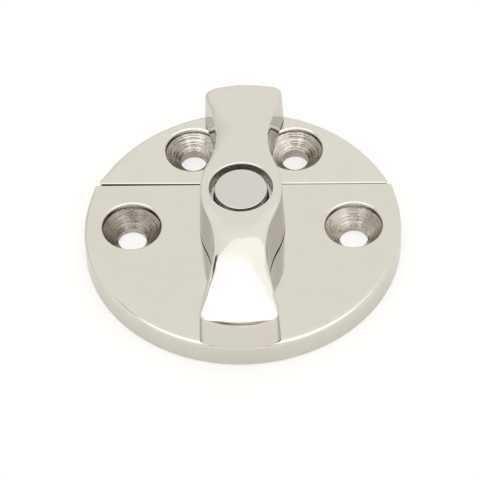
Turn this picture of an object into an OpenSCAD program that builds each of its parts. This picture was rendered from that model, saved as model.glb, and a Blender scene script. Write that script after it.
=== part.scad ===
// Round split door catch for a boat. A screwed base plate carries a sprung turn knob.
// The strike plate goes on the door, and the knob holds it when it lies across the split.
// Frame: the origin is on the pivot axis at the underside of the plates, +Z is up,
// the knob lies along Y and the strike plate is on the +Y side.

/* [Plates] */
// Diameter of the round that both plates make together
plate_d = 60; // [58:0.5:70]
// Thickness of both plates
plate_t = 5; // [4.6:0.1:7]
// Radius of the rounded top edge of the rim
rim_round = 1; // [0.4:0.1:1.4]
// Distance from the pivot axis to the middle of the split
split_y = 10.55; // [10:0.05:11.4]
// Width of the gap between the two plates
split_gap = 0.4; // [0.2:0.05:0.8]
// Width of metal lost where the round casting was sawn in two, which brings the strike plate's rim in
kerf = 0.8; // [0:0.1:1.6]
// Radius of the rounded top edges along the split
split_round = 0.25; // [0.2:0.05:0.8]

/* [Screw holes] */
// Diameter of the base plate's clear holes for the screws' shanks
screw_d = 5.5; // [4.5:0.1:5.8]
// Diameter of the straight recess above each cone in the base plate
csk_d = 10.8; // [9.8:0.1:11.2]
// Full angle of the base plate's countersinks
csk_angle = 90; // [86:1:100]
// Diameter of the strike plate's clear holes
strike_screw_d = 5.1; // [4.5:0.1:5.5]
// Diameter of the straight recess above each cone in the strike plate
strike_csk_d = 10.4; // [9.8:0.1:10.8]
// Full angle of the strike plate's countersinks
strike_csk_angle = 100; // [88:1:104]
// Depth of the straight recess above the cone, below the rounded lip
csk_wall = 0.4; // [0.2:0.05:0.8]
// Radius of the rounded lip at the plate's top
lip_round = 0.6; // [0.3:0.05:0.8]
// Distance of each base plate hole from the pivot axis, along X
base_hole_x = 21; // [20:0.25:22]
// Distance of each strike plate hole from the Y axis
strike_hole_x = 9.75; // [8.5:0.25:10.5]
// Distance of the strike plate holes from the pivot axis, along Y
strike_hole_y = 19.25; // [18:0.25:19.5]

/* [Turn knob] */
// Height of the knob at its hub, from its foot to its flat top
knob_h = 10.6; // [10:0.1:13]
// Width across the hub at its foot
hub_w = 16.2; // [15.8:0.1:17]
// Radius of the hub's sides in plan
hub_side_r = 16.5; // [13.5:0.5:20]
// Width of the narrow waists at the foot
waist_w = 10.5; // [9:0.1:11]
// Distance from the pivot axis to the middle of each waist
waist_y = 14; // [13.4:0.1:15]
// Angle by which each side opens from the waist to the tip
flare_angle = 11.5; // [8:0.25:12]
// Radius of the arc end faces in plan
tip_arc_r = 20; // [17:0.5:28]
// Radius of the upright corners at the tips
tip_corner = 2.1; // [1.4:0.1:2.4]
// How far the foot of each tip stands out past the rim
tip_proud = 0.5; // [0:0.1:1]
// Radius of the knob's rounded top edges
edge_round = 0.9; // [0.4:0.1:1.2]
// Draft of the cast side walls
draft_angle = 2.2; // [1:0.2:4]
// Half length of the flat on top of the hub
flat_half = 9; // [8.6:0.2:12]
// Length over which the flat bends down into the slope
slope_bend = 8.5; // [3:0.5:9]
// Angle of the top's slope towards each tip
slope_angle = 13.5; // [5:0.5:15]

/* [Pivot] */
// Diameter of the pin's shank, which the knob turns on
pin_d = 6; // [5:0.25:7]
// Diameter of the pin's head
head_d = 9.9; // [9.6:0.1:10]
// Thickness of the pin's head
head_t = 1.6; // [1.2:0.1:2]
// Depth of the head's top below the hub's top
head_recess = 0.4; // [0.2:0.1:1]
// Rounding of the head's top edge
head_round = 0.15; // [0.1:0.05:0.4]
// Diameter of the pin's tail, which goes through the base plate
tail_d = 5; // [4:0.1:5]
// Diameter of the tail's peened end
peen_d = 7.4; // [6.6:0.1:8]
// Diameter of the counterbore in the hub
well_d = 11.9; // [11.6:0.1:12.2]
// Radius of the counterbore's lip
well_lip = 0.3; // [0.2:0.05:0.6]
// Depth of the counterbore's ledge below the hub's top
ledge_depth = 2.8; // [2.4:0.1:3.4]
// Diameter of the deeper bore below the ledge, which holds the spring
spring_bore_d = 10.4; // [10.2:0.1:10.8]
// Height of solid hub below the spring's bore
well_floor = 3.4; // [2.5:0.1:4]

/* [Spring and washers] */
// Diameter of the spring's wire
wire_d = 0.8; // [0.6:0.05:0.9]
// Mean diameter of the spring's curls
coil_d = 8.4; // [8.2:0.1:8.8]
// Number of curls
coil_turns = 2.5; // [2:0.25:2.5]
// Diameter of the washer under the spring
slip_d = 9.8; // [9.4:0.1:10]
// Thickness of the washer under the spring
slip_t = 0.6; // [0.4:0.1:0.8]
// Diameter of the plastic bearing washer
bearing_d = 13; // [12:0.25:14]
// Thickness of the plastic bearing washer
bearing_t = 1.1; // [0.8:0.1:1.4]
// Height of the knob's foot above the plates
foot_gap = 0.4; // [0.2:0.05:0.5]
// Diameter of the washer under the peened tail
back_d = 11; // [10:0.25:13]
// Thickness of the washer under the peened tail
back_t = 0.8; // [0.6:0.1:1]

/* [Fits] */
// Radial clearance of the knob on the pin
run_clear = 0.05; // [0.03:0.01:0.09]
// Radial clearance of the tail in the base plate and of each washer in its recess
seat_clear = 0.1; // [0.05:0.05:0.2]
// Radial clearance inside each washer
washer_clear = 0.15; // [0.1:0.05:0.3]
// Height that the peened tail stays above the underside
peen_inset = 0.2; // [0.1:0.05:0.4]

/* [Hidden] */
$fn = 96;
cut = 1;                  // how far a cutter runs past the face that it opens
arc_steps = 5;            // steps in a rounded edge of the knob
round_steps = 8;          // steps in the small fillets of the turned parts
plan_steps = 8;           // steps in each arc of the knob's outline
coil_sides = 6;
coil_rings = 12;          // rings in each curl
coil_seat = 0.02;         // air between the spring's end curls and their seats

plate_r = plate_d / 2;
pin_r = pin_d / 2;
base_edge = split_y - split_gap / 2;
strike_edge = split_y + split_gap / 2;

// Heights, from the underside up
peen_t = 0.6;
back_top = peen_inset + peen_t + back_t;
recess_floor = plate_t + foot_gap - bearing_t;
foot_z = plate_t + foot_gap;
top_z = foot_z + knob_h;
well_z = foot_z + well_floor;
ledge_z = top_z - ledge_depth;
slip_top = well_z + slip_t;
head_top = top_z - head_recess;
head_z = head_top - head_t;

// Height at which each countersink's cone starts
csk_start = plate_t - lip_round - csk_wall;

// Outline of the knob's foot in plan, for the quarter with positive X and Y. Each point is
// [x, y, nx, ny] with the outward normal. A convex hub side meets the concave waist, which
// meets the straight flare, the rounded corner and the arc of the end face.
reach = plate_r + tip_proud;
hub_cx = hub_w / 2 - hub_side_r;
waist_k = waist_w / 2 - hub_cx;
waist_r = (waist_k ^ 2 + waist_y ^ 2 - hub_side_r ^ 2) / (2 * (hub_side_r - waist_k));
waist_cx = waist_w / 2 + waist_r;
join_a = atan2(waist_y, waist_k + waist_r);
flare_start = [waist_cx - waist_r * cos(flare_angle), waist_y + waist_r * sin(flare_angle)];
flare_way = [sin(flare_angle), cos(flare_angle)];
flare_in = [-cos(flare_angle), sin(flare_angle)];
end_c = [0, reach - tip_arc_r];
corner_from = flare_start + tip_corner * flare_in - end_c;
corner_dot = corner_from * flare_way;
corner_run = -corner_dot + sqrt(corner_dot ^ 2 - corner_from * corner_from + (tip_arc_r - tip_corner) ^ 2);
corner_c = end_c + corner_from + corner_run * flare_way;
corner_a = atan2(corner_c[1] - end_c[1], corner_c[0]);

function arc(c, r, a0, a1, first) =
    [for (i = [first : plan_steps])
        let (a = a0 + (a1 - a0) * i / plan_steps)
        [c[0] + r * cos(a), c[1] + r * sin(a), cos(a), sin(a)]];
function hollow_arc(c, r, a0, a1, first) =
    [for (i = [first : plan_steps])
        let (a = a0 + (a1 - a0) * i / plan_steps)
        [c[0] - r * cos(a), c[1] + r * sin(a), cos(a), -sin(a)]];
quarter = concat(
    arc([hub_cx, 0], hub_side_r, 0, join_a, 0),
    hollow_arc([waist_cx, waist_y], waist_r, -join_a, flare_angle, 1),
    arc(corner_c, tip_corner, -flare_angle, corner_a, 0),
    arc(end_c, tip_arc_r, corner_a, 90, 1));
last = len(quarter) - 1;

// The right side runs from the front tip to the rear tip, and the left side mirrors it back
right_side = concat(
    [for (i = [last : -1 : 1]) [quarter[i][0], -quarter[i][1], quarter[i][2], -quarter[i][3]]],
    quarter);
side_n = len(right_side);
outline = concat(
    right_side,
    [for (i = [side_n - 2 : -1 : 1])
        [-right_side[i][0], right_side[i][1], -right_side[i][2], right_side[i][3]]]);
outline_n = len(outline);

// Height of the knob's top above its foot at a distance y along the knob
function fall(u) = u <= 0 ? 0 : u < slope_bend ? u ^ 2 / (2 * slope_bend) : u - slope_bend / 2;
function top_at(y) = knob_h - tan(slope_angle) * fall(abs(y) - flat_half);

// One point of the knob's skin: the foot outline moved inwards by the draft and the rounding
function inset_pt(p, d) = [p[0] - d * p[2], p[1] - d * p[3]];
function skin_pt(p, level) =
    level == 0 ? [p[0], p[1], 0] :
    let (a = 90 * (level - 1) / arc_steps,
         wall_h = top_at(p[1]) - edge_round,
         q = inset_pt(p, tan(draft_angle) * wall_h + edge_round * (1 - cos(a))))
    [q[0], q[1], top_at(q[1]) - edge_round * (1 - sin(a))];
levels = arc_steps + 1;
skin = [for (level = [0 : levels]) for (p = outline) skin_pt(p, level)];
function at(level, i) = level * outline_n + (i + outline_n) % outline_n;
skin_faces = concat(
    [for (level = [0 : levels - 1]) for (i = [0 : outline_n - 1]) each [
        [at(level, i), at(level + 1, i), at(level, i + 1)],
        [at(level, i + 1), at(level + 1, i), at(level + 1, i + 1)]]],
    [for (i = [1 : side_n - 3]) each [
        [at(0, i), at(0, i + 1), at(0, -i)],
        [at(0, i + 1), at(0, -i - 1), at(0, -i)],
        [at(levels, i), at(levels, -i), at(levels, i + 1)],
        [at(levels, i + 1), at(levels, -i), at(levels, -i - 1)]]],
    [for (level = [0, levels])
        let (a = [at(level, 0), at(level, 1), at(level, -1)],
             b = [at(level, side_n - 1), at(level, side_n), at(level, side_n - 2)])
        each level == 0 ? [a, b] : [[a[0], a[2], a[1]], [b[0], b[2], b[1]]]]);

// Spring: a helix between the slip washer and the pin's head
coil_z0 = slip_top + coil_seat + wire_d / 2;
coil_z1 = head_z - coil_seat - wire_d / 2;
coil_n = round(coil_turns * coil_rings);
coil_pitch = (coil_z1 - coil_z0) / coil_turns;
function coil_mid(i) =
    let (a = 360 * i / coil_rings)
    [coil_d / 2 * cos(a), coil_d / 2 * sin(a), coil_z0 + (coil_z1 - coil_z0) * i / coil_n];
coil_gap = min([for (i = [0 : coil_n]) for (j = [0 : coil_n])
    if (j - i > coil_rings / 2) norm(coil_mid(i) - coil_mid(j)) - wire_d]);
echo(str("least gap of the spring to itself: ", coil_gap, " mm"));
coil_pts = [for (i = [0 : coil_n]) for (k = [0 : coil_sides - 1])
    let (a = 360 * i / coil_rings, b = 360 * k / coil_sides + 90, m = coil_mid(i))
    [m[0] + wire_d / 2 * cos(b) * cos(a), m[1] + wire_d / 2 * cos(b) * sin(a), m[2] + wire_d / 2 * sin(b)]];
coil_faces = concat(
    [for (i = [0 : coil_n - 1]) for (k = [0 : coil_sides - 1])
        let (m = (k + 1) % coil_sides, a = i * coil_sides, b = a + coil_sides)
        each [[a + k, a + m, b + k], [a + m, b + m, b + k]]],
    [for (k = [1 : coil_sides - 2]) each [
        [0, k + 1, k],
        [coil_n * coil_sides, coil_n * coil_sides + k, coil_n * coil_sides + k + 1]]]);

// Section of a round plate with a rounded upper edge, for turning about the Z axis
module plate_section() {
    square([plate_r - rim_round, plate_t]);
    square([plate_r, plate_t - rim_round]);
    translate([plate_r - rim_round, plate_t - rim_round]) circle(rim_round);
}

// Countersunk screw hole with a rounded lip, standing on the underside of a plate
module screw_hole(bore_d, mouth_d, angle) {
    bore_len = csk_start - (mouth_d - bore_d) / 2 / tan(angle / 2);
    lip = [for (i = [0 : round_steps])
        let (a = 90 * i / round_steps)
        [mouth_d / 2 + lip_round * (1 - cos(a)), plate_t - lip_round * (1 - sin(a))]];
    rotate_extrude() polygon(concat(
        [[0, -cut], [bore_d / 2, -cut], [bore_d / 2, bore_len], [mouth_d / 2, csk_start]],
        lip,
        [[mouth_d / 2 + lip_round, plate_t + cut], [0, plate_t + cut]]));
}

// Rounds the top edge of a plate along the split; way is +1 where the plate lies on the -Y side
module split_edge(y, way) {
    translate([-plate_r - cut, y, plate_t - split_round]) rotate([90, 0, 90])
        linear_extrude(plate_d + 2 * cut) difference() {
            translate([way > 0 ? -split_round : -cut, 0])
                square([split_round + cut, split_round + cut]);
            translate([-way * split_round, 0]) circle(split_round);
        }
}

module ring(d_out, d_in, t) {
    difference() {
        cylinder(d = d_out, h = t);
        translate([0, 0, -cut]) cylinder(d = d_in, h = t + 2 * cut);
    }
}

module base_plate() {
    color("gainsboro") difference() {
        rotate_extrude() plate_section();
        translate([-plate_r - cut, base_edge, -cut])
            cube([plate_d + 2 * cut, plate_r + cut, plate_t + 2 * cut]);
        split_edge(base_edge, 1);
        for (side = [-1, 1]) translate([side * base_hole_x, 0, 0]) screw_hole(screw_d, csk_d, csk_angle);
        translate([0, 0, -cut]) cylinder(d = tail_d + 2 * seat_clear, h = plate_t + 2 * cut);
        translate([0, 0, -cut]) cylinder(d = back_d + 2 * seat_clear, h = back_top + cut);
        translate([0, 0, recess_floor]) cylinder(d = bearing_d + 2 * seat_clear, h = plate_t);
    }
}

module strike_plate() {
    color("gainsboro") difference() {
        translate([0, -kerf, 0]) rotate_extrude() plate_section();
        translate([-plate_r - cut, strike_edge - 2 * plate_r, -cut])
            cube([plate_d + 2 * cut, 2 * plate_r, plate_t + 2 * cut]);
        split_edge(strike_edge, -1);
        for (side = [-1, 1]) translate([side * strike_hole_x, strike_hole_y, 0])
            screw_hole(strike_screw_d, strike_csk_d, strike_csk_angle);
    }
}

module turn_knob() {
    lip = [for (i = [0 : round_steps])
        let (a = 90 * i / round_steps)
        [well_d / 2 + well_lip * (1 - cos(a)), top_z - well_lip * (1 - sin(a))]];
    color("silver") difference() {
        translate([0, 0, foot_z]) polyhedron(skin, skin_faces);
        translate([0, 0, foot_z - cut]) cylinder(d = pin_d + 2 * run_clear, h = knob_h);
        rotate_extrude() polygon(concat(
            [[0, well_z], [spring_bore_d / 2, well_z], [spring_bore_d / 2, ledge_z], [well_d / 2, ledge_z]],
            lip,
            [[well_d / 2 + well_lip, top_z + cut], [0, top_z + cut]]));
    }
}

module pivot_pin() {
    color("silver") rotate_extrude() polygon(concat(
        [[0, peen_inset], [peen_d / 2 - peen_t / 2, peen_inset], [peen_d / 2, peen_inset + peen_t / 2],
         [peen_d / 2, peen_inset + peen_t], [tail_d / 2, peen_inset + peen_t], [tail_d / 2, recess_floor],
         [pin_r, recess_floor], [pin_r, head_z], [head_d / 2, head_z]],
        [for (i = [0 : round_steps])
            let (a = 90 * i / round_steps)
            [head_d / 2 - head_round * (1 - cos(a)), head_top - head_round * (1 - sin(a))]],
        [[0, head_top]]));
}

module hold_down_spring() {
    color("dimgray") polyhedron(coil_pts, coil_faces);
}

module slip_washer() {
    color("silver") translate([0, 0, well_z]) ring(slip_d, pin_d + 2 * washer_clear, slip_t);
}

module bearing_washer() {
    color("black") translate([0, 0, recess_floor]) ring(bearing_d, pin_d + 2 * washer_clear, bearing_t);
}

module back_washer() {
    color("silver") translate([0, 0, back_top - back_t]) ring(back_d, tail_d + 2 * washer_clear, back_t);
}

base_plate();
strike_plate();
turn_knob();
pivot_pin();
hold_down_spring();
slip_washer();
bearing_washer();
back_washer();
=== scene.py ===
"""Looks of the round split door catch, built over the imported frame."""
import math

import bpy
import numpy as np
from mathutils import Matrix, Vector
from mathutils.geometry import delaunay_2d_cdt


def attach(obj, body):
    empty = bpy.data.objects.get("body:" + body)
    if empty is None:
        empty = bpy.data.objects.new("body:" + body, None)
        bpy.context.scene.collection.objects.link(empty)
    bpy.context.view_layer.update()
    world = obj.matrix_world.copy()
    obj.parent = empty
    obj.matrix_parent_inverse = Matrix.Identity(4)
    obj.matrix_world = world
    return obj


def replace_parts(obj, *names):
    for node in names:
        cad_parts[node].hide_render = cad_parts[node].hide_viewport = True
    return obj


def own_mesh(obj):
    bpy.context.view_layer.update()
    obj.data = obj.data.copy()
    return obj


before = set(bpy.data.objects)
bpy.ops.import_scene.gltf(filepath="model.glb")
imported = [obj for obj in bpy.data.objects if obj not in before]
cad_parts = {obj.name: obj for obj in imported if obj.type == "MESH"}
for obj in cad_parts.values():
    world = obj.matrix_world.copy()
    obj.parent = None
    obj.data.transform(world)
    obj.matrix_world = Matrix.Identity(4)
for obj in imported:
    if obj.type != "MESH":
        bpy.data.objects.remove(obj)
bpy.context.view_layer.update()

scene = bpy.context.scene
MM = 0.001

# Sizes in millimetres: the part's own, with the lips, roll-offs and small shifts that the photo shows
# Plates
PLATE_R, PLATE_T, RIM_ROUND, SPLIT_ROUND = 30.0, 5.0, 0.85, 0.24
RIM_ROLL, SPLIT_ROLL, ROLL_TILT = 0.9, 0.25, math.radians(4)
BASE_EDGE, STRIKE_EDGE, KERF, CUT_CLOSES, CUT_DEPTH = 10.35, 10.75, 0.8, 0.3, 2.7
# countersinks: radius of the bore, full angle, centres, and for each hole the radius of its mouth,
# the radius of its lip and the height of the straight wall under the lip
BASE_HOLE = dict(bore=2.75, angle=90.0, at=[(-21.0, 0.0), (21.0, 0.0)], mouths=[5.55, 5.4],
                 lips=[0.45, 0.45], walls=[0.75, 0.65])
STRIKE_HOLE = dict(bore=2.55, angle=100.0, at=[(-9.75, 19.25), (9.75, 19.25)], mouths=[5.2, 5.2],
                   lips=[0.6, 0.5], walls=[0.35, 0.35])
SAWN_CORNER, FOOT_ROUND = 0.45, 0.2
# Knob
FOOT_Z, KNOB_H, TOP_Z = 5.4, 10.6, 16.0
HUB_W, HUB_SIDE_R, WAIST_W, WAIST_Y, FLARE = 16.2, 16.5, 10.5, 14.0, math.radians(11.5)
TIP_R, TIP_CORNER, REACH = 20.0, 2.1, 30.5
WALL_TILT = 87.8  # degrees, of the knob's drafted wall
DRAFT = math.tan(math.radians(90 - WALL_TILT))
DRESSED_LEFT, DRESSED_RIGHT = 0.0234, 0.009
# the slope of the knob's top, by the distance from the pivot
SLOPE_AT = np.array([0, 8.5, 12.3, 15.0, 18.0, 32.0])
SLOPE_TAN = np.tan(np.radians([0, 0, 6.5, 10.8, 12.8, 13.6]))
WELL_R, WELL_LIP, LEDGE_Z, SPRING_BORE_R, WELL_Z, BORE_R = 5.95, 0.3, 13.2, 5.2, 8.8, 3.05
# Seats around the pin, the pin and the spring
BEARING_SEAT_R, BEARING_SEAT_Z, PIN_HOLE_R = 6.6, 4.3, 2.6
BACK_SEAT_R, BACK_SEAT_Z, BACK_WASHER_Z = 5.6, 1.6, 0.8
PIN_R, TAIL_R, PEEN_R, PEEN_Z = 3.0, 2.5, 3.7, 0.2
HEAD_R, HEAD_Z, HEAD_TOP, HEAD_ROUND = 4.95, 14.0, 15.42, 0.14
COIL_R, WIRE_R, COIL_TURNS, COIL_FOOT, COIL_CLEAR = 4.2, 0.4, 2.5, 9.4, 0.02
# Mesh steps; inner points keep the triangles of the flat faces short
SHEET_STEP, SHEET_REACH = 1.2, 28.2
TOP_STEP_X, TOP_STEP_Y, TOP_REACH_X, TOP_REACH_Y = 0.8, 0.4, 7.6, 29.0
ROUND_STEPS, WELL_STEPS = 128, 160


# Mesh helpers
class Skin:
    """Collects points with exact normals, and the faces between them."""

    def __init__(self):
        self.points, self.normals, self.faces = [], [], {3: [], 4: []}
        self.count = 0

    def add(self, points, normals):
        """Adds points and returns the number of the first."""
        points = np.asarray(points, float).reshape(-1, 3)
        normals = np.asarray(normals, float).reshape(-1, 3)
        self.points.append(points)
        self.normals.append(normals / np.linalg.norm(normals, axis=1, keepdims=True))
        first = self.count
        self.count += len(points)
        return first

    def put(self, faces, slot):
        """Faces of three or four point numbers each, all of one material slot."""
        faces = np.asarray(faces, int)
        self.faces[faces.shape[1]].append((faces, slot))

    def grid(self, points, normals, closed=False, slot=0):
        """Quads over an array of shape (rows, columns, 3); closed joins the last row to the first."""
        rows, cols = points.shape[:2]
        at = self.add(points, normals) + np.arange(rows * cols).reshape(rows, cols)
        if closed:
            at = np.vstack([at, at[:1]])
        self.put(np.stack([at[:-1, :-1], at[1:, :-1], at[1:, 1:], at[:-1, 1:]], -1).reshape(-1, 4), slot)

    def sheet(self, loops, extra, height, normal, keep, slot=0):
        """Triangles over the plane region inside loops[0] and outside the other loops."""
        flat, edges = [], []
        for loop in loops:
            n, k = len(loop), len(flat)
            flat.extend((float(p[0]), float(p[1])) for p in loop)
            edges.extend((k + i, k + (i + 1) % n) for i in range(n))
        flat.extend((float(p[0]), float(p[1])) for p in extra)
        out = delaunay_2d_cdt([Vector(p) for p in flat], edges, [], 0, 1e-7)
        co = np.array([(v.x, v.y) for v in out[0]])
        first = self.add([height(x, y) for x, y in co], [normal(x, y) for x, y in co])
        self.put([[first + i for i in face] for face in out[2] if keep(*co[list(face)].mean(0))], slot)

    def build(self, name, materials):
        """The mesh object, with faces turned along their normals and without faces of no area."""
        points, normals = np.concatenate(self.points), np.concatenate(self.normals)
        faces, slots = [], []
        for size in (3, 4):
            for block, slot in self.faces[size]:
                p = points[block]
                if size == 4:
                    across = np.cross(p[:, 2] - p[:, 0], p[:, 3] - p[:, 1])
                else:
                    across = np.cross(p[:, 1] - p[:, 0], p[:, 2] - p[:, 0])
                solid = np.linalg.norm(across, axis=1) > 1e-7
                block, across = block[solid], across[solid]
                wrong = (across * normals[block].sum(1)).sum(1) < 0
                block = np.where(wrong[:, None], block[:, ::-1], block)
                faces.extend(block.tolist())
                slots.extend([slot] * len(block))
        mesh = bpy.data.meshes.new(name)
        mesh.from_pydata((points * MM).tolist(), [], faces)
        mesh.polygons.foreach_set("use_smooth", [True] * len(faces))
        mesh.polygons.foreach_set("material_index", slots)
        mesh.normals_split_custom_set_from_vertices(normals.tolist())
        mesh.update()
        piece = bpy.data.objects.new(name, mesh)
        scene.collection.objects.link(piece)
        for material in materials:
            mesh.materials.append(material)
        return piece


def path(corners, step=0.06):
    """A 2-D path through (r, z, radius) corners, rounded, as rows of r, z and the normal on its right."""
    pts = [np.array(c[:2], float) for c in corners]
    ways = [(b - a) / np.linalg.norm(b - a) for a, b in zip(pts, pts[1:])]
    rows = [(*pts[0], ways[0][1], -ways[0][0])]
    for p, a, b, corner in zip(pts[1:-1], ways, ways[1:], corners[1:-1]):
        turn = math.atan2(a[0] * b[1] - a[1] * b[0], a @ b)
        start = p - a * corner[2] * math.tan(abs(turn) / 2)
        centre = start + np.array([-a[1], a[0]]) * math.copysign(corner[2], turn)
        n = max(1, int(round(corner[2] * abs(turn) / step)))
        for t in turn * np.arange(n + 1) / n:
            spin = np.array([[math.cos(t), -math.sin(t)], [math.sin(t), math.cos(t)]])
            way = spin @ a
            rows.append((*(centre + spin @ (start - centre)), way[1], -way[0]))
    rows.append((*pts[-1], ways[-1][1], -ways[-1][0]))
    new = [i == 0 or np.abs(np.subtract(r, rows[i - 1])).max() > 1e-6 for i, r in enumerate(rows)]
    return np.array(rows)[new]


def lathe(skin, rows, at=(0.0, 0.0), steps=ROUND_STEPS, slot=0):
    """Turns rows of r, z and normal around a vertical axis."""
    a = np.linspace(0, 2 * math.pi, steps, endpoint=False)
    c, s = np.cos(a)[:, None], np.sin(a)[:, None]
    r, z, nr, nz = rows.T
    one = np.ones_like(c)
    points = np.stack([at[0] + c * r, at[1] + s * r, one * z], -1)
    skin.grid(points, np.stack([c * nr, s * nr, one * nz], -1), closed=True, slot=slot)


def circle(r, at=(0.0, 0.0), steps=ROUND_STEPS):
    a = np.linspace(0, 2 * math.pi, steps, endpoint=False)
    return np.stack([at[0] + r * np.cos(a), at[1] + r * np.sin(a)], -1)


def smooth(x, low, high):
    """0 up to low, 1 from high on, and a smooth step between them."""
    t = min(max((x - low) / (high - low), 0.0), 1.0)
    return t * t * (3 - 2 * t)


def inside(loop, x, y):
    """True if the point is inside the closed 2-D loop."""
    x0, y0 = loop[:, 0], loop[:, 1]
    x1, y1 = np.roll(x0, -1), np.roll(y0, -1)
    over = (y0 > y) != (y1 > y)
    with np.errstate(divide="ignore", invalid="ignore"):
        cross = x < (x1 - x0) * (y - y0) / (y1 - y0) + x0
    return bool(np.count_nonzero(over & cross) % 2)


# Materials
class Nodes:
    """A small wrapper that adds linked nodes to a tree."""

    def __init__(self, tree):
        self.tree = tree
        tree.nodes.clear()

    def add(self, kind, inputs=None, **settings):
        node = self.tree.nodes.new(kind)
        for key, value in settings.items():
            setattr(node, key, value)
        for key, value in (inputs or {}).items():
            if isinstance(value, bpy.types.NodeSocket):
                self.tree.links.new(value, node.inputs[key])
            else:
                node.inputs[key].default_value = value
        return node

    def math(self, operation, a, b=0.0):
        return self.add("ShaderNodeMath", {0: a, 1: b}, operation=operation).outputs[0]

    def ramp(self, value, low, high, to_low=0.0, to_high=1.0, smooth=True):
        node = self.add("ShaderNodeMapRange", {0: value, 1: low, 2: high, 3: to_low, 4: to_high})
        node.interpolation_type = "SMOOTHSTEP" if smooth else "LINEAR"
        return node.outputs[0]

    def noise(self, vector, scale, detail=2.0, rough=0.5, dims="3D"):
        node = self.add("ShaderNodeTexNoise", {"Scale": scale, "Detail": detail, "Roughness": rough},
                        noise_dimensions=dims)
        self.tree.links.new(vector, node.inputs["W" if dims == "1D" else "Vector"])
        return node.outputs["Fac"]

    def bump(self, height, distance, strength, under=None):
        inputs = {"Height": height, "Distance": distance, "Strength": strength}
        if under is not None:
            inputs["Normal"] = under
        return self.add("ShaderNodeBump", inputs).outputs[0]

    def mix(self, factor, a, b, kind="MIX"):
        node = self.add("ShaderNodeMix", {0: factor}, data_type="RGBA", blend_type=kind)
        for socket, value in ((node.inputs[6], a), (node.inputs[7], b)):
            if isinstance(value, bpy.types.NodeSocket):
                self.tree.links.new(value, socket)
            else:
                socket.default_value = value
        return node.outputs[2]


def metal(name, colour, worn, rough=(0.03, 0.09), waves=0.02, scratch=0.05, rings=0.0, grain=0.0,
          tint=0.82):
    """Polished steel: faint cloudy variation, hairline polishing marks, soft waves and edge wear.
    rings adds the grooves of turning, which lie at equal heights, and grain the pits between them."""
    material = bpy.data.materials.new(name)
    material.use_nodes = True
    n = Nodes(material.node_tree)
    here = n.add("ShaderNodeTexCoord").outputs["Object"]
    cloud = n.noise(here, 260.0, 3.0)
    speck = n.noise(here, 2600.0, 2.0)
    stretch = n.add("ShaderNodeMapping", {"Vector": here, "Scale": (1400.0, 90.0, 1400.0)}).outputs[0]
    hair = n.noise(stretch, 4.0, 3.0, 0.6)
    edge = n.ramp(n.add("ShaderNodeNewGeometry").outputs["Pointiness"], 0.505, 0.56)
    shade = n.mix(n.ramp(cloud, 0.3, 0.75), (*colour, 1.0), (*worn, 1.0))
    rubbed = (*[min(1.0, c * 1.06) for c in colour], 1.0)
    shade = n.mix(n.math("MULTIPLY", edge, 0.25), shade, rubbed)
    marks = n.math("MULTIPLY", n.ramp(hair, 0.55, 0.8), scratch)
    gloss = n.math("ADD", n.ramp(cloud, 0.25, 0.8, *rough), marks)
    bump = n.bump(n.noise(here, 120.0, 1.0), 0.001, waves)
    fine = n.math("ADD", n.math("MULTIPLY", hair, 0.6), n.math("MULTIPLY", speck, 0.4))
    bump = n.bump(fine, 0.00001, scratch, bump)
    if rings:
        z = n.add("ShaderNodeSeparateXYZ", {0: here}).outputs[2]
        turn = n.noise(z, 5200.0, 4.0, 0.7, "1D")
        coarse = n.noise(z, 1700.0, 1.0, 0.5, "1D")
        groove = n.math("ADD", n.math("MULTIPLY", turn, 0.55), n.math("MULTIPLY", coarse, 0.45))
        bump = n.bump(groove, 0.0002, rings, bump)
        shade = n.mix(n.ramp(groove, 0.35, 0.65), shade, (*[c * 0.8 for c in colour], 1.0))
        pits = n.noise(here, 3300.0, 3.0, 0.6)
        bump = n.bump(pits, 0.0002, grain, bump)
        patch = n.math("MULTIPLY", n.ramp(pits, 0.46, 0.6), n.ramp(cloud, 0.38, 0.58))
        shade = n.mix(n.math("MULTIPLY", patch, 0.75), shade, (*[c * 0.45 for c in worn], 1.0))
    shader = n.add("ShaderNodeBsdfPrincipled", {"Base Color": shade, "Roughness": gloss, "Normal": bump,
                                                "Metallic": 1.0, "Specular Tint": (tint, tint, tint, 1.0)})
    out = n.add("ShaderNodeOutputMaterial")
    material.node_tree.links.new(shader.outputs[0], out.inputs[0])
    return material


def plastic(name, colour):
    """Moulded black acetal with a fine grain and rubbed patches."""
    material = bpy.data.materials.new(name)
    material.use_nodes = True
    n = Nodes(material.node_tree)
    here = n.add("ShaderNodeTexCoord").outputs["Object"]
    cloud = n.noise(here, 500.0, 3.0)
    grain = n.noise(here, 6000.0, 2.0)
    rubbed = (*[c * 1.8 + 0.01 for c in colour], 1.0)
    shade = n.mix(n.ramp(cloud, 0.3, 0.8), (*colour, 1.0), rubbed)
    gloss = n.ramp(cloud, 0.3, 0.8, 0.38, 0.55)
    bump = n.bump(grain, 0.00002, 0.4)
    shader = n.add("ShaderNodeBsdfPrincipled", {"Base Color": shade, "Roughness": gloss, "Normal": bump})
    out = n.add("ShaderNodeOutputMaterial")
    material.node_tree.links.new(shader.outputs[0], out.inputs[0])
    return material


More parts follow.
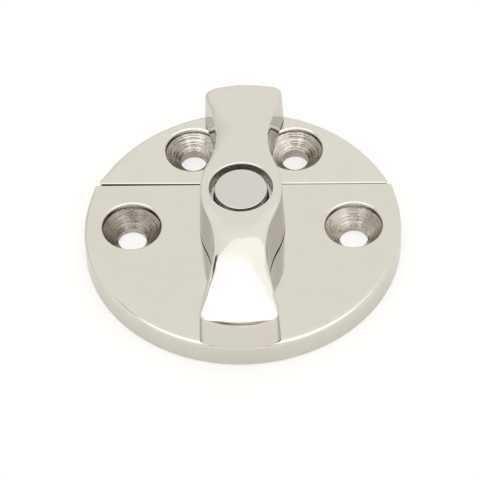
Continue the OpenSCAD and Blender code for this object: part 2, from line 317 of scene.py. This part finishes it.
steel = metal("polished_cast_steel", (0.624, 0.605, 0.558), (0.61, 0.59, 0.543), tint=0.95)
# the same cast steel made a little lighter for the strike plate: painted light for its brighter reflection
strike_plate_painted_light = metal("strike_plate_steel_painted_light", (0.64, 0.622, 0.575), (0.625, 0.606, 0.56), tint=0.95)
knob_steel = metal("polished_knob_steel", (0.632, 0.612, 0.578), (0.618, 0.598, 0.563))
pin_steel = metal("polished_pin_steel", (0.577, 0.564, 0.546), (0.562, 0.549, 0.53))
turned = metal("turned_countersink", (0.6, 0.57, 0.52), (0.5, 0.465, 0.41),
               (0.03, 0.08), 0.03, 0.06, 0.05, 0.07)
# a darker copy of the turned countersink for the base's left hole: painted shade for the dark room that
# this hole reflects
shaded_countersink = metal("countersink_painted_shade", (0.42, 0.39, 0.345), (0.28, 0.25, 0.21),
                (0.04, 0.09), 0.03, 0.06, 0.05, 0.12)
machined = metal("machined_bore", (0.66, 0.62, 0.56), (0.56, 0.52, 0.46),
                 (0.34, 0.46), 0.03, 0.1, 0.2, 0.1)
# a lighter copy of the steel for the knob's well and the pin's side: painted light that lifts the shade in
# the gap round the pin's head
well_painted_light = metal("machined_well_painted_light", (0.8, 0.76, 0.7), (0.68, 0.64, 0.57),
                   (0.3, 0.42), 0.03, 0.1, 0.1, 0.05)
wire_steel = metal("spring_wire", (0.45, 0.44, 0.42), (0.36, 0.35, 0.33),
                   (0.22, 0.36), 0.05, 0.15)
washer_steel = metal("stamped_washer", (0.55, 0.54, 0.52), (0.46, 0.45, 0.43),
                     (0.18, 0.32), 0.05, 0.15)
acetal = plastic("black_acetal", (0.03, 0.03, 0.032))


# Plates
def plate_outline(edge, front, cy):
    """Outline of one plate as rows of x, y, normal, fillet radius and roll-off, with small sawn corners."""
    rc = SAWN_CORNER
    ky = edge - cy - rc if front else edge - cy + rc
    kx = math.sqrt((PLATE_R - rc) ** 2 - ky ** 2)
    rim_a = math.atan2(ky, kx)
    rows = []

    def put(mid_x, mid_y, r, a0, a1, n, rim=False):
        for a in np.linspace(a0, a1, n):
            t = smooth(min(abs(a - a0), abs(a - a1)) * r, 0.0, 3.0) if rim else 0.0
            fillet = SPLIT_ROUND + (RIM_ROUND - SPLIT_ROUND) * t
            roll = SPLIT_ROLL + (RIM_ROLL - SPLIT_ROLL) * t
            c, s = math.cos(a), math.sin(a)
            rows.append((mid_x + r * c, mid_y + r * s, c, s, fillet, roll))

    up = math.pi / 2
    across = np.linspace(-kx, kx, 80)[1:-1]
    if front:
        put(0, cy, PLATE_R, rim_a, -math.pi - rim_a, 400, True)
        put(-kx, cy + ky, rc, math.pi - rim_a, up, 12)
        rows.extend((x, edge, 0, 1, SPLIT_ROUND, SPLIT_ROLL) for x in across)
        put(kx, cy + ky, rc, up, rim_a, 12)
    else:
        put(0, cy, PLATE_R, rim_a, math.pi - rim_a, 260, True)
        put(-kx, cy + ky, rc, math.pi - rim_a, 3 * up, 16)
        rows.extend((x, edge, 0, -1, SPLIT_ROUND, SPLIT_ROLL) for x in across)
        put(kx, cy + ky, rc, -up, rim_a, 16)
    rows = np.array(rows)
    apart = np.linalg.norm(rows[:, :2] - np.roll(rows[:, :2], 1, 0), axis=1) > 1e-4
    return rows[apart]


# the cutter's ripples on a cone: wave length in millimetres, tilt in radians, phase
RIPPLES = ((1.3, 0.03, 0.4), (0.71, 0.045, 2.1), (0.43, 0.055, 4.0), (0.29, 0.05, 1.3), (0.21, 0.03, 5.2))


def turned_cone(r0, z0, r1, z1, rows=170):
    """A countersink's cone with the uneven ripples that the cutter left, as rows of r, z and normal."""
    long = math.hypot(r0 - r1, z0 - z1)
    s = np.linspace(0, long, rows)
    way = np.array([(r1 - r0) / long, (z1 - z0) / long])
    right = np.array([way[1], -way[0]])
    slope = 0.0 * s
    for wave, tilt, phase in RIPPLES:
        slope += tilt * np.sin(2 * math.pi * s / wave + phase)
    slope *= np.clip(np.minimum(s, long - s) / 0.15, 0, 1)
    lift = np.concatenate([[0], np.cumsum((slope[1:] + slope[:-1]) / 2 * np.diff(s))])
    lift -= lift[-1] * s / long
    r = r0 + way[0] * s + right[0] * lift
    z = z0 + way[1] * s + right[1] * lift
    return np.stack([r, z, right[0] - way[0] * slope, right[1] - way[1] * slope], -1)


def plate(name, edge, front, cy, hole, centre, materials):
    """One plate with its rim, its two holes and, under the knob, the seats around the pin."""
    skin = Skin()
    x, y, nx, ny, rad, roll = plate_outline(edge, front, cy).T
    fall = roll * math.tan(ROLL_TILT) / 2
    profile = []  # inset, height and tilt of the normal from straight up
    for t in np.linspace(0, 1, 6)[:-1]:
        inset = rad * (1 - math.sin(ROLL_TILT)) + roll * (1 - t)
        profile.append((inset, PLATE_T - fall * t * t, ROLL_TILT * t))
    for tilt in np.linspace(ROLL_TILT, math.pi / 2, 15):
        profile.append((rad * (1 - math.sin(tilt)),
                        PLATE_T - fall - rad * (math.cos(ROLL_TILT) - math.cos(tilt)), tilt))
    flat = 0 * rad
    profile.append((flat, PLATE_T / 2 + flat, math.pi / 2))
    for tilt in np.radians([90, 120, 150, 180]):
        inset = FOOT_ROUND * (1 - math.sin(tilt)) + flat
        profile.append((inset, FOOT_ROUND * (1 + math.cos(tilt)) + flat, tilt))
    points = np.stack([np.stack([x - i * nx, y - i * ny, z], -1) for i, z, t in profile], 1)
    normals = np.stack([np.stack([math.sin(t) * nx, math.sin(t) * ny, math.cos(t) + 0 * nx], -1)
                        for i, z, t in profile], 1)
    skin.grid(points, normals, closed=True)
    top_loops, bottom_loops = [points[:, 0, :2]], [points[:, -1, :2]]
    blocked = []  # centre of a hole, its radius in the top and its radius in the bottom
    holes = zip(hole["at"], hole["mouths"], hole["lips"], hole["walls"])
    for i, (at, mouth, lip_r, wall) in enumerate(holes):
        under_lip = PLATE_T - lip_r - 0.1
        cone_z = PLATE_T - lip_r - wall
        bore_z = cone_z - (mouth - hole["bore"]) / math.tan(math.radians(hole["angle"] / 2))
        lip = path([(mouth + lip_r, PLATE_T, 0), (mouth, PLATE_T, lip_r), (mouth, under_lip, 0)])
        lathe(skin, lip, at)
        lathe(skin, path([(mouth, under_lip, 0), (mouth, cone_z, 0)]), at, slot=2 + i)
        lathe(skin, turned_cone(mouth, cone_z, hole["bore"], bore_z), at, slot=2 + i)
        lathe(skin, path([(hole["bore"], bore_z, 0), (hole["bore"], 0, 0)]), at, slot=1)
        top_loops.append(circle(lip[0, 0], at))
        bottom_loops.append(circle(hole["bore"], at))
        blocked.append((at, lip[0, 0], hole["bore"]))
    if centre:
        lip = 0.15
        upper, lower = BEARING_SEAT_R + lip, BACK_SEAT_R + lip
        lathe(skin, path([(upper, PLATE_T, 0), (BEARING_SEAT_R, PLATE_T, lip),
                          (BEARING_SEAT_R, BEARING_SEAT_Z, 0), (PIN_HOLE_R, BEARING_SEAT_Z, 0.1),
                          (PIN_HOLE_R, BACK_SEAT_Z, 0.1), (BACK_SEAT_R, BACK_SEAT_Z, 0),
                          (BACK_SEAT_R, 0, lip), (lower, 0, 0)]), slot=1)
        top_loops.append(circle(upper))
        bottom_loops.append(circle(lower))
        blocked.append(((0, 0), upper, lower))

    def clear_of(px, py, which, margin):
        return all(math.hypot(px - b[0][0], py - b[0][1]) > b[which] + margin for b in blocked)

    lines = np.arange(-SHEET_REACH, SHEET_REACH + 0.1, SHEET_STEP)
    for loops, z, up, which in ((top_loops, PLATE_T, 1, 1), (bottom_loops, 0.0, -1, 2)):
        outer = loops[0]
        extra = [(px, py) for py in lines for px in lines
                 if math.hypot(px, py) < SHEET_REACH + 0.2 and clear_of(px, py, which, 0.3)
                 and (py < edge - 0.6 if front else py > edge + 0.9)]
        skin.sheet(loops, extra, lambda px, py: (px, py, z), lambda px, py: (0, 0, up),
                   lambda px, py: inside(outer, px, py) and clear_of(px, py, which, -0.02))
    if not front:
        # the saw cut closes towards the right, and the holes stay where they are
        for block in skin.points:
            near = np.clip(1 - (block[:, 1] - edge) / CUT_DEPTH, 0, 1)
            block[:, 1] -= CUT_CLOSES * np.interp(block[:, 0], [-26, 8], [0, 1]) * near
    return skin.build(name, materials)


# the base plate's left hole takes the countersink with painted shade
base = plate("base_plate_polished", BASE_EDGE, True, 0.0, BASE_HOLE, True,
             [steel, machined, shaded_countersink, turned])
# the strike plate takes the lighter copy of the cast steel, painted light
strike = plate("strike_plate_polished", STRIKE_EDGE, False, -KERF, STRIKE_HOLE, False,
               [strike_plate_painted_light, machined, turned, turned])


# Knob
def knob_outline():
    """Foot outline of the knob as rows of x, y and the outward normal."""
    hcx = HUB_W / 2 - HUB_SIDE_R
    k = WAIST_W / 2 - hcx
    wr = (k * k + WAIST_Y ** 2 - HUB_SIDE_R ** 2) / (2 * (HUB_SIDE_R - k))
    wcx = WAIST_W / 2 + wr
    join = math.atan2(WAIST_Y, k + wr)
    start = np.array([wcx - wr * math.cos(FLARE), WAIST_Y + wr * math.sin(FLARE)])
    way = np.array([math.sin(FLARE), math.cos(FLARE)])
    inward = np.array([-math.cos(FLARE), math.sin(FLARE)])
    end_c = np.array([0.0, REACH - TIP_R])
    gap = start + TIP_CORNER * inward - end_c
    dot = gap @ way
    run = -dot + math.sqrt(dot * dot - gap @ gap + (TIP_R - TIP_CORNER) ** 2)
    corner = end_c + gap + run * way
    corner_a = math.atan2(corner[1] - end_c[1], corner[0])
    rows = []
    for a in np.linspace(0, join, 30):
        rows.append((hcx + HUB_SIDE_R * math.cos(a), HUB_SIDE_R * math.sin(a), math.cos(a), math.sin(a)))
    for a in np.linspace(-join, FLARE, 60)[1:]:
        rows.append((wcx - wr * math.cos(a), WAIST_Y + wr * math.sin(a), math.cos(a), -math.sin(a)))
    for t in np.linspace(0, run, 24)[1:-1]:
        rows.append((*(start + t * way), math.cos(FLARE), -math.sin(FLARE)))
    for a in np.linspace(-FLARE, corner_a, 20):
        rows.append((corner[0] + TIP_CORNER * math.cos(a), corner[1] + TIP_CORNER * math.sin(a),
                     math.cos(a), math.sin(a)))
    for a in np.linspace(corner_a, math.pi / 2, 24)[1:]:
        rows.append((TIP_R * math.cos(a), end_c[1] + TIP_R * math.sin(a), math.cos(a), math.sin(a)))
    q = np.array(rows)
    right = np.concatenate([(q * [1, -1, 1, -1])[:0:-1], q])
    left = (right * [-1, 1, -1, 1])[-2:0:-1]
    return np.concatenate([right, left])


def top_drop(y):
    """Fall of the knob's top below its flat middle: the slope's integral out to y."""
    ends = np.clip(abs(y), SLOPE_AT[:-1], SLOPE_AT[1:])
    means = (np.interp(ends, SLOPE_AT, SLOPE_TAN) + SLOPE_TAN[:-1]) / 2
    return float((means * (ends - SLOPE_AT[:-1])).sum())


def top_slope(y):
    """The tangent of the top's tilt at y, with the sign of y."""
    return math.copysign(float(np.interp(abs(y), SLOPE_AT, SLOPE_TAN)), y)


def crown_keys(x, y, ny):
    """Arc lengths and tilts of the buffed edge, from the flat of the top out to the wall.
    broad is the gently tilted part: wide at the waists, narrow at the hub and the ends, and
    narrowed sooner on one side of each arm. The ends have a flat facet at their middle."""
    left = x * y > 0
    y, ny = abs(y), abs(ny)
    rounder = smooth(y, 17.0, 21.0) * (1 - smooth(y, 23.5, 26.5)) * (0.8 if left else 0.0)
    at_tip = 1.0 if y > 25 else 0.0
    base = math.degrees(math.atan(abs(top_slope(y)) * ny))
    broad = 0.5 + 3.5 * smooth(y, 4.0, 12.0)
    if left:
        broad -= 1.7 * smooth(y, 12.5, 16.5) + 1.8 * smooth(y, 17.5, 22.5)
    else:
        broad -= 2.2 * smooth(y, 16.0, 22.5) + 1.3 * smooth(y, 23.0, 26.0)
    bend = broad + 0.33 + 0.3 * rounder
    side = np.array([(0, 0), (0.35 * broad, 3.5), (0.7 * broad, 8.5), (broad, 14), (bend, 50 - base),
                     (bend + 0.33 + 0.3 * rounder, WALL_TILT - base)])
    facet = 0.58 * smooth(ny, 0.955, 0.99)
    end = np.array([(0, 0), (0.28, 28), (0.34, 29.5), (0.34 + facet, 33), (0.4 + facet, 36),
                    (0.67 + facet, WALL_TILT - base)])
    w = at_tip * smooth(ny, 0.935, 0.955)
    keys = side * (1 - w) + end * w
    return keys[:, 0], np.radians(keys[:, 1] + base), math.tan(math.radians(base))


def crown(x, y, ny, n=26):
    """The buffed edge as rows of inset from the wall and drop below the top, from the wall inwards."""
    keys, tilts, base = crown_keys(x, y, ny)
    gentle, steep = np.linspace(0, keys[3], n // 2), np.linspace(keys[3], keys[5], n - n // 2 + 1)
    s = np.concatenate([gentle, steep[1:]])
    fine = np.linspace(0, 1, 8)
    tilt = np.interp(s[:-1, None] * (1 - fine) + s[1:, None] * fine, keys, tilts)
    h = np.concatenate([[0], np.cumsum(np.cos(tilt).mean(1) * np.diff(s))])
    v = np.concatenate([[0], np.cumsum(np.sin(tilt).mean(1) * np.diff(s))])
    drop = v - h * base
    return np.stack([h[-1] - h, drop], -1)[::-1]


def ground(x, y):
    """The y of a point after the rear end was dressed rounder, more at its left corner."""
    return y - (DRESSED_LEFT if x < 0 else DRESSED_RIGHT) * x * x * smooth(y, 20.0, 27.5)


def knob():
    """The knob's wall, buffed edge, top, foot and stepped well."""
    skin = Skin()
    outline = knob_outline()
    foot_rows = [(0.03, 0.0), (0.0, 0.04), (0.0, 0.15)]  # inset and height above the foot
    grid = []
    for x, y, nx, ny in outline:
        edge = crown(x, y, ny)
        wall_h = KNOB_H - top_drop(y) - edge[0, 1]
        column = foot_rows + [(DRAFT * z, z) for z in np.linspace(0.15, wall_h, 6)[1:-1]]
        pts = [(x - d * nx, ground(x - d * nx, y - d * ny), FOOT_Z + z) for d, z in column]
        for inset, drop in edge:
            d = DRAFT * wall_h + inset
            px, py = x - d * nx, ground(x - d * nx, y - d * ny)
            pts.append((px, py, TOP_Z - top_drop(py) - drop))
        grid.append(pts)
    grid = np.array(grid)
    along = np.roll(grid, -1, 0) - np.roll(grid, 1, 0)
    normals = np.cross(along, np.gradient(grid, axis=1))
    normals[:, -1] = [(0, top_slope(p[1]), 1) for p in grid[:, -1]]
    normals[:, 0] = [(0.3 * nx, 0.3 * ny, -1) for nx, ny in outline[:, 2:]]
    skin.grid(grid, normals, closed=True)

    rim, foot = grid[:, -1, :2], grid[:, 0, :2]
    lip_r = WELL_R + WELL_LIP
    extra = [(x, y) for y in np.arange(-TOP_REACH_Y, TOP_REACH_Y + 0.01, TOP_STEP_Y)
             for x in np.arange(-TOP_REACH_X, TOP_REACH_X + 0.01, TOP_STEP_X)
             if inside(rim * 0.97, x, y) and math.hypot(x, y) > lip_r + 0.3]
    skin.sheet([rim, circle(lip_r, steps=WELL_STEPS)], extra, lambda x, y: (x, y, TOP_Z - top_drop(y)),
               lambda x, y: (0, top_slope(y), 1),
               lambda x, y: inside(rim, x, y) and math.hypot(x, y) > lip_r - 0.02)
    skin.sheet([foot, circle(BORE_R + 0.1)], [], lambda x, y: (x, y, FOOT_Z), lambda x, y: (0, 0, -1),
               lambda x, y: inside(foot, x, y) and math.hypot(x, y) > BORE_R + 0.08)
    below = TOP_Z - WELL_LIP - 0.05
    lathe(skin, path([(lip_r, TOP_Z, 0), (WELL_R, TOP_Z, WELL_LIP), (WELL_R, below, 0)]), steps=WELL_STEPS)
    lathe(skin, path([(WELL_R, below, 0), (WELL_R, LEDGE_Z, 0.15), (SPRING_BORE_R, LEDGE_Z, 0.1),
                      (SPRING_BORE_R, WELL_Z, 0), (BORE_R, WELL_Z, 0.1), (BORE_R, FOOT_Z, 0.1),
                      (BORE_R + 0.1, FOOT_Z, 0)]), steps=WELL_STEPS, slot=1)
    return skin.build("turn_knob_polished", [knob_steel, well_painted_light])


turn_knob = knob()

# Pin and spring
skin = Skin()
lathe(skin, path([(PIN_R, BEARING_SEAT_Z, 0), (PIN_R, HEAD_Z, 0.05), (HEAD_R, HEAD_Z, 0.1),
                  (HEAD_R, HEAD_TOP - 0.2, 0)]), steps=WELL_STEPS, slot=1)
lathe(skin, path([(HEAD_R, HEAD_TOP - 0.2, 0), (HEAD_R, HEAD_TOP, HEAD_ROUND), (0.001, HEAD_TOP, 0)]),
      steps=WELL_STEPS)
lathe(skin, path([(TAIL_R, BACK_WASHER_Z, 0), (TAIL_R, BEARING_SEAT_Z, 0.05), (PIN_R, BEARING_SEAT_Z, 0)]))
lathe(skin, path([(0.001, PEEN_Z, 0), (PEEN_R - 0.2, PEEN_Z, 0.25), (PEEN_R, BACK_WASHER_Z, 0.1),
                  (TAIL_R, BACK_WASHER_Z, 0)]))
pin = skin.build("pivot_pin_polished", [pin_steel, well_painted_light])


def spring():
    """Round wire in two and a half curls, with ground ends."""
    skin = Skin()
    r, wire = COIL_R, WIRE_R
    z0, z1 = COIL_FOOT + COIL_CLEAR + wire, HEAD_Z - COIL_CLEAR - wire
    n, m = 120, 16
    a = np.linspace(0, 2 * math.pi * COIL_TURNS, n)
    b = np.linspace(0, 2 * math.pi, m + 1)
    z = z0 + (z1 - z0) * a / a[-1]
    ca, sa = np.cos(a)[:, None], np.sin(a)[:, None]
    cb, sb = np.cos(b)[None], np.sin(b)[None]
    points = np.stack([(r + wire * cb) * ca, (r + wire * cb) * sa, z[:, None] + wire * sb], -1)
    normals = np.stack([cb * ca, cb * sa, sb + 0 * ca], -1)
    skin.grid(points, normals)
    for k, way in ((0, 1), (-1, -1)):
        ring_points = points[k, :-1]
        mid = ring_points.mean(0)
        t = np.array([sa[k, 0], -ca[k, 0], 0]) * way
        first = skin.add(np.vstack([ring_points, mid]), np.tile(t, (m + 1, 1)))
        skin.put([(first + j, first + (j + 1) % m, first + m) for j in range(m)], 0)
    return skin.build("hold_down_spring_wire", [wire_steel])


coil = spring()

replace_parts(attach(base, "base"), "base_plate")
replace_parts(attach(strike, "strike"), "strike_plate")
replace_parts(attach(turn_knob, "knob"), "turn_knob")
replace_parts(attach(pin, "base"), "pivot_pin")
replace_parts(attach(coil, "base"), "hold_down_spring")
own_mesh(coil)

# the washers keep the shapes of the frame
plain = {"slip_washer": washer_steel, "back_washer": washer_steel, "bearing_washer": acetal}
for node, material in plain.items():
    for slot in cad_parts[node].material_slots:
        slot.material = material

# Floor and light
# white paper that looks white to the camera and stays grey in the steel's reflections
FLOOR_HALF, FLOOR_Z = 6.0, -0.0002
PAPER, PAPER_MIRRORED = (0.28, 0.27, 0.255, 1.0), (0.6, 0.585, 0.56, 1.0)
GLOW_SEEN, GLOW_MIRRORED = 0.69, 0.31
corners = [(i * FLOOR_HALF, j * FLOOR_HALF, FLOOR_Z) for i, j in ((-1, -1), (1, -1), (1, 1), (-1, 1))]
floor_mesh = bpy.data.meshes.new("floor")
floor_mesh.from_pydata(corners, [], [(0, 1, 2, 3)])
floor = bpy.data.objects.new("floor", floor_mesh)
scene.collection.objects.link(floor)
paper = bpy.data.materials.new("white_paper")
paper.use_nodes = True
n = Nodes(paper.node_tree)
rays = n.add("ShaderNodeLightPath").outputs
mirrored = n.math("MAXIMUM", rays["Is Glossy Ray"], rays["Is Transmission Ray"])
seen = n.math("MULTIPLY", rays["Is Camera Ray"], GLOW_SEEN)
shown = n.math("ADD", seen, n.math("MULTIPLY", mirrored, GLOW_MIRRORED))
diffuse = n.add("ShaderNodeBsdfDiffuse", {"Color": n.mix(mirrored, PAPER, PAPER_MIRRORED)})
glow = n.add("ShaderNodeEmission", {"Color": (1, 1, 1, 1), "Strength": shown})
both = n.add("ShaderNodeAddShader", {0: diffuse.outputs[0], 1: glow.outputs[0]})
out = n.add("ShaderNodeOutputMaterial")
paper.node_tree.links.new(both.outputs[0], out.inputs[0])
floor_mesh.materials.append(paper)

ROOM, CORNER = (1.122, 1.112, 1.062, 1.0), (0.12, 0.11, 0.1, 1.0)
WOOD, CARD = (0.42, 0.22, 0.12, 1.0), (0.03, 0.03, 0.035, 1.0)
BODY, CLAMP = (0.1, 0.1, 0.1, 1.0), (0.12, 0.11, 0.11, 1.0)
BACKDROP = (1.0, 1.0, 1.0, 1.0)
BOX_U, BOX_V, BOX_R = 0.14, -0.32, 0.86

world = bpy.data.worlds.new("studio")
scene.world = world
world.use_nodes = True
n = Nodes(world.node_tree)


def times(a, b):
    return n.math("MULTIPLY", a, b)


def band(value, low, full, still, high):
    """1 from full to still, falling to 0 at low and at high."""
    return times(n.ramp(value, low, full), n.ramp(value, high, still))


# directions by their slopes: u to the right and v to the rear, both 0 straight overhead
way = n.add("ShaderNodeTexCoord").outputs["Generated"]
xyz = n.add("ShaderNodeSeparateXYZ", {0: way}).outputs
dz = n.math("MAXIMUM", xyz[2], 0.02)
u, v = n.math("DIVIDE", xyz[0], dz), n.math("DIVIDE", xyz[1], dz)

# the round overhead softbox: an even margin, brighter towards its front, and a halo around it
du, dv = n.math("SUBTRACT", u, BOX_U), n.math("SUBTRACT", v, BOX_V)
far = n.math("SQRT", n.math("ADD", times(du, du), times(dv, dv)))
far = n.math("DIVIDE", far, BOX_R)
soft = n.ramp(far, 1.0, 0.965)
aside = n.math("ADD", v, times(u, 0.3))
core = n.math("ADD", n.ramp(aside, 0.36, 0.28, 0.37, 0.5, False), n.ramp(aside, 0.28, 0.25, 0.0, 0.22))
halo = times(n.ramp(far, 1.4, 1.0), 0.1)
lit = n.math("ADD", times(soft, core), times(n.math("SUBTRACT", 1.0, soft), halo))
glow = n.add("ShaderNodeCombineColor", {0: lit, 1: lit, 2: lit}).outputs[0]

# the dimmer corner low at the left rear, the warm wood behind the dark card and the camera's body
dim = times(times(n.ramp(u, -0.1, -1.2), n.ramp(v, 1.2, 1.9)), 0.25)
span = band(u, -0.75, -0.45, 0.45, 0.8)
wood = times(span, band(v, -1.34, -1.24, -1.2, -1.14))
card = times(span, band(v, -1.2, -1.14, -0.93, -0.9))
body = times(n.ramp(n.math("ABSOLUTE", u), 0.34, 0.22), band(v, -0.93, -0.9, -0.76, -0.68))
# the dark clamp at the softbox's left edge
clamp = n.ramp(n.math("ABSOLUTE", n.math("ADD", u, 0.43)), 0.085, 0.06)
clamp = times(clamp, band(v, 0.28, 0.31, 0.47, 0.51))

room = n.mix(dim, ROOM, CORNER)
for place, colour in ((wood, WOOD), (card, CARD), (body, BODY)):
    room = n.mix(place, room, colour)
room = n.mix(1.0, room, glow, "ADD")
room = n.mix(clamp, room, CLAMP)
rays = n.add("ShaderNodeLightPath").outputs
room = n.mix(rays["Is Camera Ray"], room, BACKDROP)
back = n.add("ShaderNodeBackground", {"Color": room, "Strength": 1.0})
out = n.add("ShaderNodeOutputWorld")
world.node_tree.links.new(back.outputs[0], out.inputs[0])

# Camera
# as solved from the photo: the camera's direction, its distance in metres, the scale at the pivot in
# pixels per millimetre and the place of the plates' centre in the picture
AZ, EL, ROLL, DIST = math.radians(-2.717), math.radians(49.29), math.radians(-2.499), 0.867
SCALE, PIXELS, CENTRE_X, CENTRE_Y, SENSOR = 5.261, 480, 243.25, 242.475, 36
forward = Vector((math.sin(AZ) * math.cos(EL), math.cos(AZ) * math.cos(EL), -math.sin(EL)))
right = Vector((math.cos(AZ), -math.sin(AZ), 0))
upward = right.cross(forward)
side = right * math.cos(ROLL) + upward * math.sin(ROLL)
top = upward * math.cos(ROLL) - right * math.sin(ROLL)
data = bpy.data.cameras.new("camera")
camera = bpy.data.objects.new("camera", data)
scene.collection.objects.link(camera)
turn = Matrix((side, top, -forward)).transposed().to_4x4()
camera.matrix_world = Matrix.Translation(-forward * DIST) @ turn
data.lens = SCALE / PIXELS * DIST / MM * SENSOR
data.sensor_width = SENSOR
data.sensor_fit = "HORIZONTAL"
data.shift_x = (PIXELS / 2 - CENTRE_X) / PIXELS
data.shift_y = (CENTRE_Y - PIXELS / 2) / PIXELS
data.clip_start = 0.01
scene.camera = camera

scene.view_settings.view_transform = "Standard"
